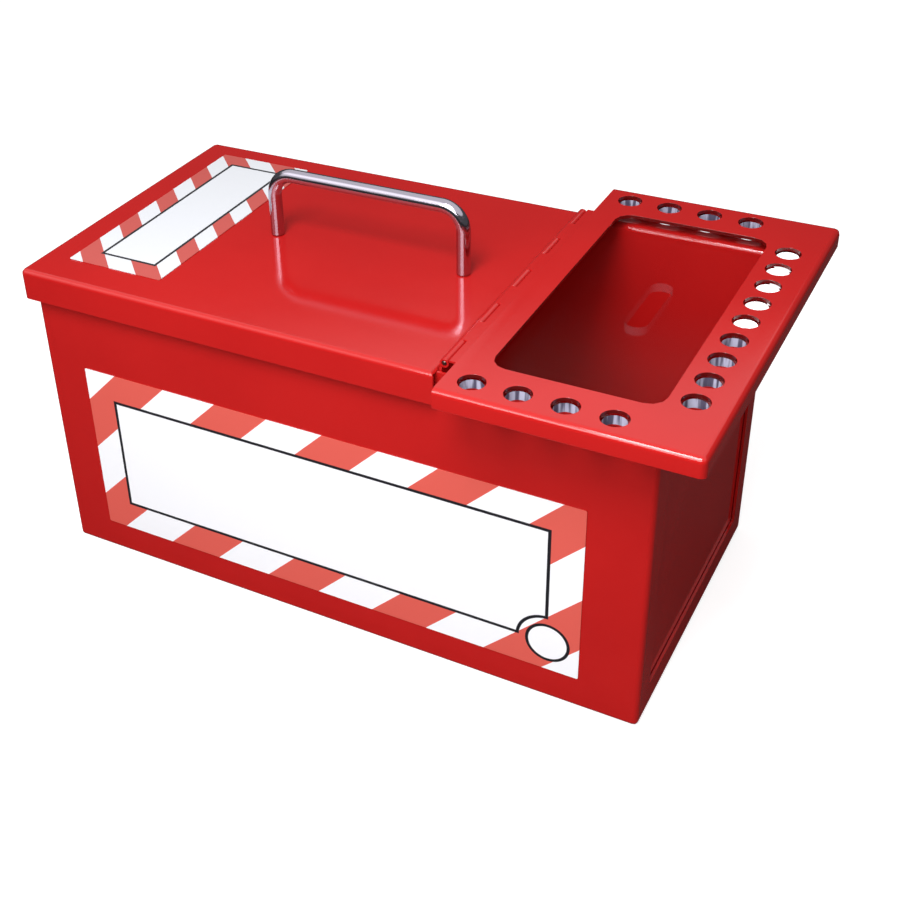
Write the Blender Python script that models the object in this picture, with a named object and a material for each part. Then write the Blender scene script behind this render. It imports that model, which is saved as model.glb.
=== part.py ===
"""Group lockout box of bent sheet steel, with a hinged padlock frame and a clear window.

Metres, +Z up, +X along the box towards the padlock frame, -Y to the front. The origin is the middle
of the whole outline, at the underside of the body.
"""
import math

import bmesh
import bpy
from mathutils import Matrix, Vector

# Sheet steel and fits
SHEET = 0.0015
FRAME_SHEET = 0.002
BEND_INNER_RADIUS = 0.0015
FRAME_BEND_INNER_RADIUS = 0.0012
SEAT_GAP = 0.0003
LABEL_GAP = 0.0002
CUT_OVERRUN = 0.002
WELD_OVERLAP = 0.001
ARC_STEPS = 3
ROUND_SIDES = 24

# Body
BODY_DEPTH = 0.190
BODY_HEIGHT = 0.1935
END_RETURN_WIDTH = 0.0175
FLANGE_BEND_INNER_RADIUS = 0.0025
FLANGE_CLEARANCE = 0.001
BEND_RELIEF = 0.001

# Fixed cover
COVER_LENGTH = 0.2625
COVER_OVERHANG = 0.005
COVER_SKIRT = 0.0185
COVER_RETURN = 0.013
STIFFENER_WIDTH = 0.016

# Hinged padlock frame
FRAME_LENGTH = 0.1325
FRAME_EDGE_FROM_COVER = 0.011
FRAME_OVERHANG = 0.0285
FRAME_SKIRT = 0.0105
WINDOW_FROM_FRAME_EDGE = 0.015
WINDOW_END_INSET = 0.0025
WINDOW_SIDE_INSET = 0.003
WINDOW_CORNER_RADIUS = 0.009
LEDGE_INSET = 0.0005

# Padlock holes, in a row along each side and one along the end, at no less than each pitch
PADLOCK_HOLE = 0.014
PANE_HOLE = 0.012
SIDE_ROW_PITCH = 0.0237
SIDE_ROW_FROM_FRAME_EDGE = 0.0145
SIDE_ROW_FROM_FRAME_END = 0.0469
SIDE_ROW_FROM_FRAME_SIDE = 0.0141
SIDE_ROW_LEAST_STEPS = 2
END_ROW_PITCH = 0.0202
END_ROW_FROM_BODY = 0.010
END_ROW_FROM_FRAME_SIDE = 0.0427

# Clear window pane
PANE_THICKNESS = 0.005
PANE_EDGE_CLEARANCE = 0.0006
PANE_NOTCH_CLEARANCE = 0.0008
SLOT_WIDTH = 0.0125
SLOT_LENGTH = 0.050
SLOT_PAST_WINDOW_MIDDLE = 0.00575
STUD_DIAMETER = 0.003
STUD_CLEARANCE = 0.0004
NUT_ACROSS_FLATS = 0.0055
NUT_HEIGHT = 0.0018
NUT_CLEARANCE = 0.0006
NUT_RECESS = 0.0023
STUD_INSET = 0.0005
NUT_SIDES = 6

# Continuous hinge
KNUCKLE_RADIUS = 0.0025
PIN_RADIUS = 0.0012
PIN_CLEARANCE = 0.0003
LEAF_THICKNESS = 0.0012
KNUCKLE_COUNT = 9
HINGE_END_CLEARANCE = 0.0005
KNUCKLE_GAP = 0.0004
LEAF_CLEARANCE = 0.0004
MOVING_LEAF_WIDTH = 0.0155
KNUCKLE_SIDES = 16
HINGE_RIVET_COUNT = 5
RIVET_RADIUS = 0.0016
RIVET_HEAD_RADIUS = 0.003
RIVET_HEAD_HEIGHT = 0.0011
RIVET_CROWN_SHARE = 0.7
RIVET_FROM_EDGE = 0.0048
RIVET_SIDES = 12

# Carry handle
HANDLE_BAR = 0.008
HANDLE_FROM_LABEL = 0.030
HANDLE_FROM_STIFFENER = 0.01195
HANDLE_HEIGHT = 0.043
HANDLE_BEND_RADIUS = 0.013
HANDLE_SIDES = 20
HANDLE_BEND_STEPS = 8
SCREW_RADIUS = 0.0025
SCREW_GRIP = 0.012
SCREW_CLEARANCE = 0.0003
SCREW_HEAD_RADIUS = 0.0045
SCREW_HEAD_HEIGHT = 0.003
SCREW_SOCKET_RADIUS = 0.0017
SCREW_SOCKET_DEPTH = 0.0016
WASHER_RADIUS = 0.0065
WASHER_THICKNESS = 0.0012
SCREW_SIDES = 16

# Labels
LABEL_THICKNESS = 0.0003
FRONT_LABEL_FROM_LEFT = 0.0277
FRONT_LABEL_FROM_RIGHT = 0.0338
FRONT_LABEL_FROM_TOP = 0.0603
FRONT_LABEL_FROM_BOTTOM = 0.021
COVER_LABEL_WIDTH = 0.0635
COVER_LABEL_FROM_END = 0.0185
COVER_LABEL_FROM_FRONT = 0.0225
COVER_LABEL_FROM_BACK = 0.0155
LABEL_CORNER_RADIUS = 0.0008

# Places worked out from the sizes above
OVERALL_LENGTH = COVER_LENGTH + FRAME_EDGE_FROM_COVER + FRAME_LENGTH
COVER_LEFT = -OVERALL_LENGTH / 2
COVER_RIGHT = COVER_LEFT + COVER_LENGTH
FRAME_LEFT = COVER_RIGHT + FRAME_EDGE_FROM_COVER
FRAME_RIGHT = FRAME_LEFT + FRAME_LENGTH
BODY_LEFT = COVER_LEFT + COVER_OVERHANG
BODY_RIGHT = FRAME_RIGHT - FRAME_OVERHANG
BODY_SIDE = BODY_DEPTH / 2
INNER_SIDE = BODY_SIDE - SHEET
COVER_SIDE = BODY_SIDE + COVER_OVERHANG
COVER_UNDERSIDE = BODY_HEIGHT - SHEET
BEND_OUTER_RADIUS = BEND_INNER_RADIUS + SHEET

FRAME_SIDE = BODY_SIDE + FRAME_OVERHANG
PADLOCK_FLANGE_WIDTH = FRAME_OVERHANG - FRAME_SHEET - FLANGE_CLEARANCE
PANE_UNDERSIDE = BODY_HEIGHT + SEAT_GAP
PANE_TOP = PANE_UNDERSIDE + PANE_THICKNESS
FRAME_UNDERSIDE = PANE_TOP + SEAT_GAP
FRAME_TOP = FRAME_UNDERSIDE + FRAME_SHEET
WINDOW_LEFT = FRAME_LEFT + WINDOW_FROM_FRAME_EDGE
WINDOW_RIGHT = BODY_RIGHT - WINDOW_END_INSET
WINDOW_SIDE = BODY_SIDE - WINDOW_SIDE_INSET
WINDOW_MIDDLE_X = (WINDOW_LEFT + WINDOW_RIGHT) / 2
SIDE_ROW_Y = FRAME_SIDE - SIDE_ROW_FROM_FRAME_SIDE
END_ROW_X = BODY_RIGHT + END_ROW_FROM_BODY
SLOT_CENTRE_X = WINDOW_MIDDLE_X + SLOT_PAST_WINDOW_MIDDLE

HINGE_LENGTH = 2 * (INNER_SIDE - HINGE_END_CLEARANCE)
HINGE_X = COVER_RIGHT + SEAT_GAP + KNUCKLE_RADIUS
HINGE_Z = FRAME_UNDERSIDE - SEAT_GAP - KNUCKLE_RADIUS
LEDGE_LEFT = FRAME_LEFT + LEDGE_INSET
LEDGE_CORNER = BODY_RIGHT - BEND_OUTER_RADIUS

STIFFENER_WEB_X = COVER_RIGHT - SHEET - SEAT_GAP - SHEET / 2
STIFFENER_EDGE = STIFFENER_WEB_X - STIFFENER_WIDTH
COVER_LABEL_LEFT = COVER_LEFT + COVER_LABEL_FROM_END
COVER_LABEL_RIGHT = COVER_LABEL_LEFT + COVER_LABEL_WIDTH
HANDLE_LEFT_X = COVER_LABEL_RIGHT + HANDLE_FROM_LABEL
HANDLE_RIGHT_X = STIFFENER_EDGE - HANDLE_FROM_STIFFENER


def clear_scene():
    """Remove what the file holds, so that the model starts from an empty scene."""
    for item in list(bpy.data.objects):
        bpy.data.objects.remove(item, do_unlink=True)


def finish(name, colour, roughness, metallic=0.0):
    """Return a Principled material of one colour."""
    material = bpy.data.materials.new(name)
    material.use_nodes = True
    shader = material.node_tree.nodes["Principled BSDF"]
    shader.inputs["Base Color"].default_value = (*colour, 1.0)
    shader.inputs["Roughness"].default_value = roughness
    shader.inputs["Metallic"].default_value = metallic
    return material


def make_object(name, mesh_builder, material=None, smooth_angle=None):
    """Turn a bmesh into a named object with outward faces."""
    bmesh.ops.recalc_face_normals(mesh_builder, faces=mesh_builder.faces)
    mesh = bpy.data.meshes.new(name)
    mesh_builder.to_mesh(mesh)
    mesh_builder.free()
    if smooth_angle is not None:
        mesh.shade_smooth()
        mesh.set_sharp_from_angle(angle=math.radians(smooth_angle))
    result = bpy.data.objects.new(name, mesh)
    bpy.context.scene.collection.objects.link(result)
    if material is not None:
        mesh.materials.append(material)
    return result


def as_cutter(tool):
    """Show a cutting body as a wire guide and keep it out of the model."""
    tool.hide_render = True
    tool.display_type = "WIRE"
    return tool


def combine(target, tool, operation):
    """Add a Boolean modifier that joins or cuts the target with a tool body."""
    as_cutter(tool)
    modifier = target.modifiers.new(tool.name, "BOOLEAN")
    modifier.operation = operation
    modifier.solver = "EXACT"
    modifier.object = tool


def cut(target, *tools):
    """Cut the target with each tool."""
    for tool in tools:
        combine(target, tool, "DIFFERENCE")


def join(target, *tools):
    """Weld each tool body to the target."""
    for tool in tools:
        combine(target, tool, "UNION")


def add_block(builder, low, high):
    """Add a block between two corners to a bmesh and return its vertices."""
    made = bmesh.ops.create_cube(builder, size=1.0)["verts"]
    low, high = Vector(low), Vector(high)
    size = high - low
    bmesh.ops.scale(builder, vec=size, verts=made)
    bmesh.ops.translate(builder, vec=(low + high) / 2, verts=made)
    return made


def block(name, low, high, material=None):
    """Make one block between two corners."""
    builder = bmesh.new()
    add_block(builder, low, high)
    return make_object(name, builder, material)


def rounded_block(name, low, high, radius, is_round, material=None):
    """Make a block whose edges are rounded where is_round says so.

    is_round gets the direction from the block's middle to the edge's middle, as signs along X, Y
    and Z, where 0 is the axis that the edge runs along.
    """
    builder = bmesh.new()
    add_block(builder, low, high)
    middle = (Vector(low) + Vector(high)) / 2
    chosen = []
    for edge in builder.edges:
        offset = (edge.verts[0].co + edge.verts[1].co) / 2 - middle
        along = edge.verts[1].co - edge.verts[0].co
        signs = [0 if abs(along[i]) > 0 else int(math.copysign(1, offset[i])) for i in range(3)]
        if is_round(*signs):
            chosen.append(edge)
    bmesh.ops.bevel(builder, geom=chosen, offset=radius, segments=ARC_STEPS, profile=0.5, affect="EDGES")
    return make_object(name, builder, material, smooth_angle=30)


def prism(name, outline, axis, start, stop, material=None, smooth_angle=30):
    """Extrude a closed 2D outline along an axis, from start to stop.

    The outline's two coordinates are the two other axes in the order X, Y, Z.
    """
    builder = bmesh.new()
    place = {
        "X": lambda a, b: (start, a, b),
        "Y": lambda a, b: (a, start, b),
        "Z": lambda a, b: (a, b, start),
    }[axis]
    corners = [builder.verts.new(place(a, b)) for a, b in outline]
    face = builder.faces.new(corners)
    grown = bmesh.ops.extrude_face_region(builder, geom=[face])
    moved = [item for item in grown["geom"] if isinstance(item, bmesh.types.BMVert)]
    direction = Vector([1.0 if axis == letter else 0.0 for letter in "XYZ"])
    bmesh.ops.translate(builder, vec=direction * (stop - start), verts=moved)
    return make_object(name, builder, material, smooth_angle)


def folded_outline(corners, thickness, inner_radius):
    """Return the outline of a sheet folded along a mid-line of straight runs.

    corners are the sharp corners of the mid-line. Each inner one becomes a bend with the inner
    radius given. The skins lie half a thickness to both sides of the mid-line.
    """
    middle_radius = inner_radius + thickness / 2
    points = [Vector(corner) for corner in corners]
    samples = []
    first = (points[1] - points[0]).normalized()
    samples.append((points[0], Vector((-first.y, first.x))))
    for before, corner, after in zip(points, points[1:], points[2:]):
        going_in = (corner - before).normalized()
        going_out = (after - corner).normalized()
        turn = math.atan2(going_in.x * going_out.y - going_in.y * going_out.x, going_in.dot(going_out))
        reach = middle_radius * math.tan(abs(turn) / 2)
        side = math.copysign(1.0, turn)
        normal = Vector((-going_in.y, going_in.x))
        centre = corner - going_in * reach + normal * side * middle_radius
        for step in range(ARC_STEPS + 1):
            spun = normal.copy()
            spun.rotate(Matrix.Rotation(turn * step / ARC_STEPS, 2))
            samples.append((centre - spun * side * middle_radius, spun))
    last = (points[-1] - points[-2]).normalized()
    samples.append((points[-1], Vector((-last.y, last.x))))
    half = thickness / 2
    upper = [point + normal * half for point, normal in samples]
    lower = [point - normal * half for point, normal in samples]
    return [tuple(point) for point in upper + lower[::-1]]


def rounded_rectangle(centre, size, radius, steps=ARC_STEPS):
    """Return the outline of a rectangle with round corners, counter-clockwise."""
    outline = []
    quarters = ((1, 1, 0), (-1, 1, 90), (-1, -1, 180), (1, -1, 270))
    for sign_x, sign_y, start in quarters:
        corner_x = centre[0] + sign_x * (size[0] / 2 - radius)
        corner_y = centre[1] + sign_y * (size[1] / 2 - radius)
        for step in range(steps + 1):
            angle = math.radians(start + 90 * step / steps)
            outline.append((corner_x + radius * math.cos(angle), corner_y + radius * math.sin(angle)))
    return outline


def turned(name, profile, sides, spin_axis, places, material):
    """Turn a profile round an axis and set a copy of it at each place, as separate solids.

    The profile runs from the axis to the axis as (distance along the axis, radius).
    """
    builder = bmesh.new()
    axis_vector = Vector([1.0 if spin_axis == letter else 0.0 for letter in "XYZ"])
    side_vector = Vector((0, 0, 1)) if spin_axis != "Z" else Vector((1, 0, 0))
    for place in places:
        origin = Vector(place)
        rings = []
        for along, radius in profile:
            centre = origin + axis_vector * along
            if radius == 0:
                rings.append([builder.verts.new(centre)])
                continue
            ring = []
            for index in range(sides):
                turn = Matrix.Rotation(2 * math.pi * index / sides, 3, axis_vector)
                ring.append(builder.verts.new(centre + turn @ side_vector * radius))
            rings.append(ring)
        for ring, following in zip(rings, rings[1:]):
            for index in range(sides):
                after = (index + 1) % sides
                near = [ring[index], ring[after]] if len(ring) > 1 else [ring[0]]
                far = [following[after], following[index]] if len(following) > 1 else [following[0]]
                builder.faces.new(near + far)
    return make_object(name, builder, material, smooth_angle=35)


def rod_profile(radius, start, stop):
    """Return the profile of a plain round rod from start to stop along its axis."""
    return [(start, 0), (start, radius), (stop, radius), (stop, 0)]


def rods(name, radius, sides, spin_axis, start, stop, places, material=None):
    """Make plain round rods along an axis, from start to stop beside each place."""
    return turned(name, rod_profile(radius, start, stop), sides, spin_axis, places, material)


def fasteners(name, profile, sides, spin_axis, places, material):
    """Make one turned piece at each place, numbered from one, and return them."""
    return [turned(name + "_" + str(number), profile, sides, spin_axis, [place], material)
            for number, place in enumerate(places, start=1)]


def row_places(start, stop, least_pitch):
    """Return even places from start to stop, as many as the least pitch leaves room for."""
    steps = max(int((stop - start + SEAT_GAP) / least_pitch), SIDE_ROW_LEAST_STEPS)
    return [start + (stop - start) * index / steps for index in range(steps + 1)]


def side_row_along():
    """Return the X of the padlock holes in the row along each side."""
    first = FRAME_LEFT + SIDE_ROW_FROM_FRAME_EDGE
    return row_places(first, FRAME_RIGHT - SIDE_ROW_FROM_FRAME_END, SIDE_ROW_PITCH)


def padlock_hole_places():
    """Return the X and Y of the padlock holes: four along each side and nine along the end."""
    end_row_tip = FRAME_SIDE - END_ROW_FROM_FRAME_SIDE
    places = [(x, side * SIDE_ROW_Y) for side in (-1, 1) for x in side_row_along()]
    return places + [(END_ROW_X, y) for y in row_places(-end_row_tip, end_row_tip, END_ROW_PITCH)]


def pane_stud_places():
    """Return the X and Y of the studs that carry the pane, between and beside the padlock holes."""
    row = side_row_along()
    along = [(row[0] + row[1]) / 2, (row[-2] + row[-1]) / 2, END_ROW_X]
    return [(x, side * SIDE_ROW_Y) for side in (-1, 1) for x in along]


def hole_cutter(name, diameter, bottom, top):
    """Make the body that cuts all padlock holes of one diameter."""
    places = [(x, y, 0) for x, y in padlock_hole_places()]
    return as_cutter(rods(name, diameter / 2, ROUND_SIDES, "Z", bottom, top, places))


def build_body(paint, hole_tool):
    """Build the wrapper sheet and the two end plates."""
    def is_wrapper_bend(x, y, z):
        """Say whether an edge is bent: round the floor and up the four corners."""
        return z <= 0

    wrapper = rounded_block("body_wrapper", (BODY_LEFT, -BODY_SIDE, 0),
                            (BODY_RIGHT, BODY_SIDE, BODY_HEIGHT), BEND_OUTER_RADIUS,
                            is_wrapper_bend, paint)
    cavity = rounded_block("wrapper_inside", (BODY_LEFT + SHEET, -INNER_SIDE, SHEET),
                           (BODY_RIGHT - SHEET, INNER_SIDE, BODY_HEIGHT + CUT_OVERRUN),
                           BEND_INNER_RADIUS, is_wrapper_bend)
    end_window = block("wrapper_end_windows",
                       (BODY_LEFT - CUT_OVERRUN, -(BODY_SIDE - END_RETURN_WIDTH), END_RETURN_WIDTH),
                       (BODY_RIGHT + CUT_OVERRUN, BODY_SIDE - END_RETURN_WIDTH, BODY_HEIGHT + CUT_OVERRUN))
    lip_drop = SHEET + FLANGE_BEND_INNER_RADIUS
    lip_bottom = BODY_HEIGHT - lip_drop
    notch = block("wrapper_top_notch",
                  (LEDGE_LEFT - BEND_RELIEF, -(BODY_SIDE + CUT_OVERRUN), lip_bottom),
                  (BODY_RIGHT + CUT_OVERRUN, BODY_SIDE + CUT_OVERRUN, BODY_HEIGHT + CUT_OVERRUN))
    cover_seat = block("wrapper_cover_seat",
                       (BODY_LEFT - CUT_OVERRUN, -(BODY_SIDE + CUT_OVERRUN), COVER_UNDERSIDE - SEAT_GAP),
                       (LEDGE_LEFT, BODY_SIDE + CUT_OVERRUN, BODY_HEIGHT + CUT_OVERRUN))
    cut(wrapper, cavity, end_window, notch, cover_seat)
    for side, label in ((-1, "front"), (1, "back")):
        wall = side * (BODY_SIDE - SHEET / 2)
        tip = side * (BODY_SIDE + PADLOCK_FLANGE_WIDTH)
        level = BODY_HEIGHT - SHEET / 2
        profile = folded_outline([(wall, lip_bottom - WELD_OVERLAP), (wall, level), (tip, level)],
                                 SHEET, FLANGE_BEND_INNER_RADIUS)
        join(wrapper, prism("padlock_flange_" + label, profile, "X", LEDGE_LEFT, LEDGE_CORNER))
    cut(wrapper, hole_tool)

    plate_side = INNER_SIDE - BEND_INNER_RADIUS
    plate_bottom = SHEET + BEND_INNER_RADIUS
    left_x = BODY_LEFT + SHEET + SEAT_GAP
    block("left_end_plate", (left_x, -plate_side, plate_bottom),
          (left_x + SHEET, plate_side, COVER_UNDERSIDE - SEAT_GAP), paint)

    plate_x = BODY_RIGHT - SHEET - SEAT_GAP - SHEET / 2
    ledge_tip = BODY_RIGHT + PADLOCK_FLANGE_WIDTH
    level = BODY_HEIGHT - SHEET / 2
    profile = folded_outline([(plate_x, plate_bottom), (plate_x, level), (ledge_tip, level)],
                             SHEET, BEND_INNER_RADIUS)
    right_plate = prism("right_end_plate", profile, "Y", -plate_side, plate_side, paint)
    ledge_side = BODY_SIDE + PADLOCK_FLANGE_WIDTH
    ledge = block("right_ledge_bar", (LEDGE_CORNER + SEAT_GAP, -ledge_side, BODY_HEIGHT - SHEET),
                  (ledge_tip, ledge_side, BODY_HEIGHT))
    join(right_plate, ledge)
    cut(right_plate, hole_tool)


def build_cover(paint):
    """Build the fixed cover with its skirt, and the stiffener along its free edge."""
    def is_cover_bend(x, y, z):
        """Say whether an edge is bent: round the top and down the two left corners."""
        return z > 0 or (z == 0 and x < 0)

    skirt_bottom = BODY_HEIGHT - COVER_SKIRT
    below_skirt = skirt_bottom - CUT_OVERRUN
    cover = rounded_block("fixed_cover", (COVER_LEFT, -COVER_SIDE, skirt_bottom),
                          (COVER_RIGHT, COVER_SIDE, BODY_HEIGHT), BEND_OUTER_RADIUS, is_cover_bend, paint)
    inside = rounded_block("cover_inside", (COVER_LEFT + SHEET, -(COVER_SIDE - SHEET), below_skirt),
                           (COVER_RIGHT - SHEET, COVER_SIDE - SHEET, COVER_UNDERSIDE),
                           BEND_INNER_RADIUS, is_cover_bend)
    return_side = INNER_SIDE - SEAT_GAP
    below_return = block("cover_below_return",
                         (COVER_RIGHT - SHEET - CUT_OVERRUN, -return_side, below_skirt),
                         (COVER_RIGHT + CUT_OVERRUN, return_side, BODY_HEIGHT - COVER_RETURN))
    cut(cover, inside, below_return)
    for side, label in ((-1, "front"), (1, "back")):
        near = side * return_side
        far = side * (COVER_SIDE - SHEET)
        cut(cover, block("cover_end_gap_" + label,
                         (COVER_RIGHT - SHEET - CUT_OVERRUN, min(near, far), below_skirt),
                         (COVER_RIGHT + CUT_OVERRUN, max(near, far), COVER_UNDERSIDE)))

    rivets = hinge_rivet_places()
    rivet_tool = rods("rivet_holes", RIVET_RADIUS + SCREW_CLEARANCE, RIVET_SIDES, "X",
                      -STIFFENER_WIDTH, STIFFENER_WIDTH, rivets)
    cut(cover, rivet_tool)

    leg_z = COVER_UNDERSIDE - SEAT_GAP - SHEET / 2
    profile = folded_outline([(STIFFENER_WEB_X, BODY_HEIGHT - COVER_RETURN), (STIFFENER_WEB_X, leg_z),
                              (STIFFENER_EDGE, leg_z)], SHEET, BEND_INNER_RADIUS)
    stiffener = prism("cover_stiffener", profile, "Y", -return_side, return_side, paint)
    cut(stiffener, rivet_tool)

    handle_tool = rods("handle_screw_holes", SCREW_RADIUS + SCREW_CLEARANCE, SCREW_SIDES, "Z",
                       skirt_bottom, BODY_HEIGHT + CUT_OVERRUN,
                       [(HANDLE_LEFT_X, 0, 0), (HANDLE_RIGHT_X, 0, 0)])
    cut(cover, handle_tool)
    return rivet_tool


def hinge_rivet_places():
    """Return the points on the cover's free edge where the fixed leaf is riveted."""
    height = BODY_HEIGHT - COVER_RETURN + RIVET_FROM_EDGE
    pitch = HINGE_LENGTH / HINGE_RIVET_COUNT
    return [(COVER_RIGHT, (index - (HINGE_RIVET_COUNT - 1) / 2) * pitch, height)
            for index in range(HINGE_RIVET_COUNT)]


def knuckle_spans(first):
    """Return the start and end of every second knuckle along Y, beginning with the one named."""
    pitch = HINGE_LENGTH / KNUCKLE_COUNT
    spans = []
    for index in range(first, KNUCKLE_COUNT, 2):
        start = -HINGE_LENGTH / 2 + index * pitch
        spans.append((start + KNUCKLE_GAP / 2, start + pitch - KNUCKLE_GAP / 2))
    return spans


def knuckle_outline(reach):
    """Return the section of a rolled knuckle with its tangent tab, round the hinge axis.

    The tab runs to the reach given along the first coordinate. Its outer skin lies one knuckle radius
    from the axis along the second.
    """
    inner = KNUCKLE_RADIUS - LEAF_THICKNESS
    meeting = math.asin(inner / KNUCKLE_RADIUS)
    start = math.pi / 2
    sweep = 2 * math.pi + meeting - start
    outline = [(reach, KNUCKLE_RADIUS)]
    for step in range(KNUCKLE_SIDES + 1):
        angle = start + sweep * step / KNUCKLE_SIDES
        outline.append((KNUCKLE_RADIUS * math.cos(angle), KNUCKLE_RADIUS * math.sin(angle)))
    outline.append((reach, inner))
    return outline


def build_leaf(name, first_knuckle, width, place, paint, bore):
    """Build one hinge leaf, with place turning its own section into X and Z."""
    near = KNUCKLE_RADIUS + LEAF_CLEARANCE
    inner = KNUCKLE_RADIUS - LEAF_THICKNESS
    section = [(near, inner), (width, inner), (width, KNUCKLE_RADIUS), (near, KNUCKLE_RADIUS)]
    plate = [place(along, off) for along, off in section]
    leaf = prism(name, plate, "Y", -HINGE_LENGTH / 2, HINGE_LENGTH / 2, paint)
    knuckle = [place(along, off) for along, off in knuckle_outline(near + WELD_OVERLAP)]
    for index, (start, stop) in enumerate(knuckle_spans(first_knuckle)):
        join(leaf, prism(name + "_knuckle_" + str(index), knuckle, "Y", start, stop))
    cut(leaf, bore)
    return leaf


def build_hinge(paint, zinc, moving, rivet_tool):
    """Build the two leaves, the pin and the rivets of the continuous hinge."""
    bore = rods("hinge_bore", PIN_RADIUS + PIN_CLEARANCE, KNUCKLE_SIDES, "Y",
                -HINGE_LENGTH / 2 - CUT_OVERRUN, HINGE_LENGTH / 2 + CUT_OVERRUN, [(HINGE_X, 0, HINGE_Z)])

    fixed_width = HINGE_Z - (BODY_HEIGHT - COVER_RETURN)
    fixed_leaf = build_leaf("hinge_fixed_leaf", 0, fixed_width,
                            lambda along, off: (HINGE_X - off, HINGE_Z - along), paint, bore)
    cut(fixed_leaf, rivet_tool)
    moving_leaf = build_leaf("hinge_moving_leaf", 1, MOVING_LEAF_WIDTH,
                             lambda along, off: (HINGE_X + along, HINGE_Z + off), paint, bore)
    carry(moving_leaf, moving)

    rods("hinge_pin", PIN_RADIUS, KNUCKLE_SIDES, "Y", -HINGE_LENGTH / 2, HINGE_LENGTH / 2,
         [(HINGE_X, 0, HINGE_Z)], zinc)

    leaf_face = SEAT_GAP + LEAF_THICKNESS + SEAT_GAP
    web_face = -(SHEET + SEAT_GAP + SHEET + SEAT_GAP)
    profile = [(web_face - RIVET_HEAD_HEIGHT, 0),
               (web_face - RIVET_HEAD_HEIGHT, RIVET_HEAD_RADIUS * RIVET_CROWN_SHARE),
               (web_face, RIVET_HEAD_RADIUS), (web_face, RIVET_RADIUS),
               (leaf_face, RIVET_RADIUS), (leaf_face, RIVET_HEAD_RADIUS),
               (leaf_face + RIVET_HEAD_HEIGHT, RIVET_HEAD_RADIUS * RIVET_CROWN_SHARE),
               (leaf_face + RIVET_HEAD_HEIGHT, 0)]
    fasteners("hinge_rivet", profile, RIVET_SIDES, "X", hinge_rivet_places(), zinc)


def build_handle(steel, zinc):
    """Build the bent bar handle, its screws and its washers."""
    bar_radius = HANDLE_BAR / 2
    foot = BODY_HEIGHT + SEAT_GAP
    crown = BODY_HEIGHT + HANDLE_HEIGHT - bar_radius
    path = [Vector((HANDLE_LEFT_X, 0, foot))]
    bends = ((HANDLE_LEFT_X + HANDLE_BEND_RADIUS, 180), (HANDLE_RIGHT_X - HANDLE_BEND_RADIUS, 90))
    for centre_x, start in bends:
        for step in range(HANDLE_BEND_STEPS + 1):
            angle = math.radians(start - 90 * step / HANDLE_BEND_STEPS)
            path.append(Vector((centre_x + HANDLE_BEND_RADIUS * math.cos(angle), 0,
                                crown - HANDLE_BEND_RADIUS + HANDLE_BEND_RADIUS * math.sin(angle))))
    path.append(Vector((HANDLE_RIGHT_X, 0, foot)))
    handle = swept_bar("carry_handle", path, bar_radius, HANDLE_SIDES, steel)
    feet = [(HANDLE_LEFT_X, 0, 0), (HANDLE_RIGHT_X, 0, 0)]
    cut(handle, rods("handle_threads", SCREW_RADIUS + SCREW_CLEARANCE, SCREW_SIDES, "Z",
                     BODY_HEIGHT - CUT_OVERRUN, foot + SCREW_GRIP + SCREW_CLEARANCE, feet))

    washer_top = COVER_UNDERSIDE - SEAT_GAP
    washer_tool = rods("washer_holes", SCREW_RADIUS + SCREW_CLEARANCE, SCREW_SIDES, "Z",
                       washer_top - WASHER_THICKNESS - CUT_OVERRUN, washer_top + CUT_OVERRUN, feet)
    profile = rod_profile(WASHER_RADIUS, washer_top - WASHER_THICKNESS, washer_top)
    for washer in fasteners("handle_washer", profile, SCREW_SIDES, "Z", feet, zinc):
        cut(washer, washer_tool)

    head_top = washer_top - WASHER_THICKNESS - SEAT_GAP
    head_bottom = head_top - SCREW_HEAD_HEIGHT
    profile = [(head_bottom + SCREW_SOCKET_DEPTH, 0), (head_bottom + SCREW_SOCKET_DEPTH, SCREW_SOCKET_RADIUS),
               (head_bottom, SCREW_SOCKET_RADIUS), (head_bottom, SCREW_HEAD_RADIUS - SCREW_CLEARANCE),
               (head_bottom + SCREW_CLEARANCE, SCREW_HEAD_RADIUS), (head_top, SCREW_HEAD_RADIUS),
               (head_top, SCREW_RADIUS), (foot + SCREW_GRIP, SCREW_RADIUS), (foot + SCREW_GRIP, 0)]
    fasteners("handle_screw", profile, SCREW_SIDES, "Z", feet, zinc)


def swept_bar(name, path, radius, sides, material):
    """Carry a round section along a path that lies in the XZ plane."""
    builder = bmesh.new()
    rings = []
    for index, point in enumerate(path):
        before = path[max(index - 1, 0)]
        after = path[min(index + 1, len(path) - 1)]
        tangent = (after - before).normalized()
        if index in (0, len(path) - 1):
            tangent = Vector((0, 0, math.copysign(1, tangent.z)))
        across = Vector((0, 1, 0))
        outward = across.cross(tangent)
        ring = []
        for corner in range(sides):
            angle = 2 * math.pi * corner / sides
            spoke = across * math.cos(angle) + outward * math.sin(angle)
            ring.append(builder.verts.new(point + spoke * radius))
        rings.append(ring)
    for ring, following in zip(rings, rings[1:]):
        for corner in range(sides):
            after = (corner + 1) % sides
            builder.faces.new((ring[corner], ring[after], following[after], following[corner]))
    builder.faces.new(rings[0][::-1])
    builder.faces.new(rings[-1])
    return make_object(name, builder, material, smooth_angle=35)


def carry(item, empty):
    """Hang an object on a joint's empty, with the object left where it is."""
    item.parent = empty
    item.location = -empty.location


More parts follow.
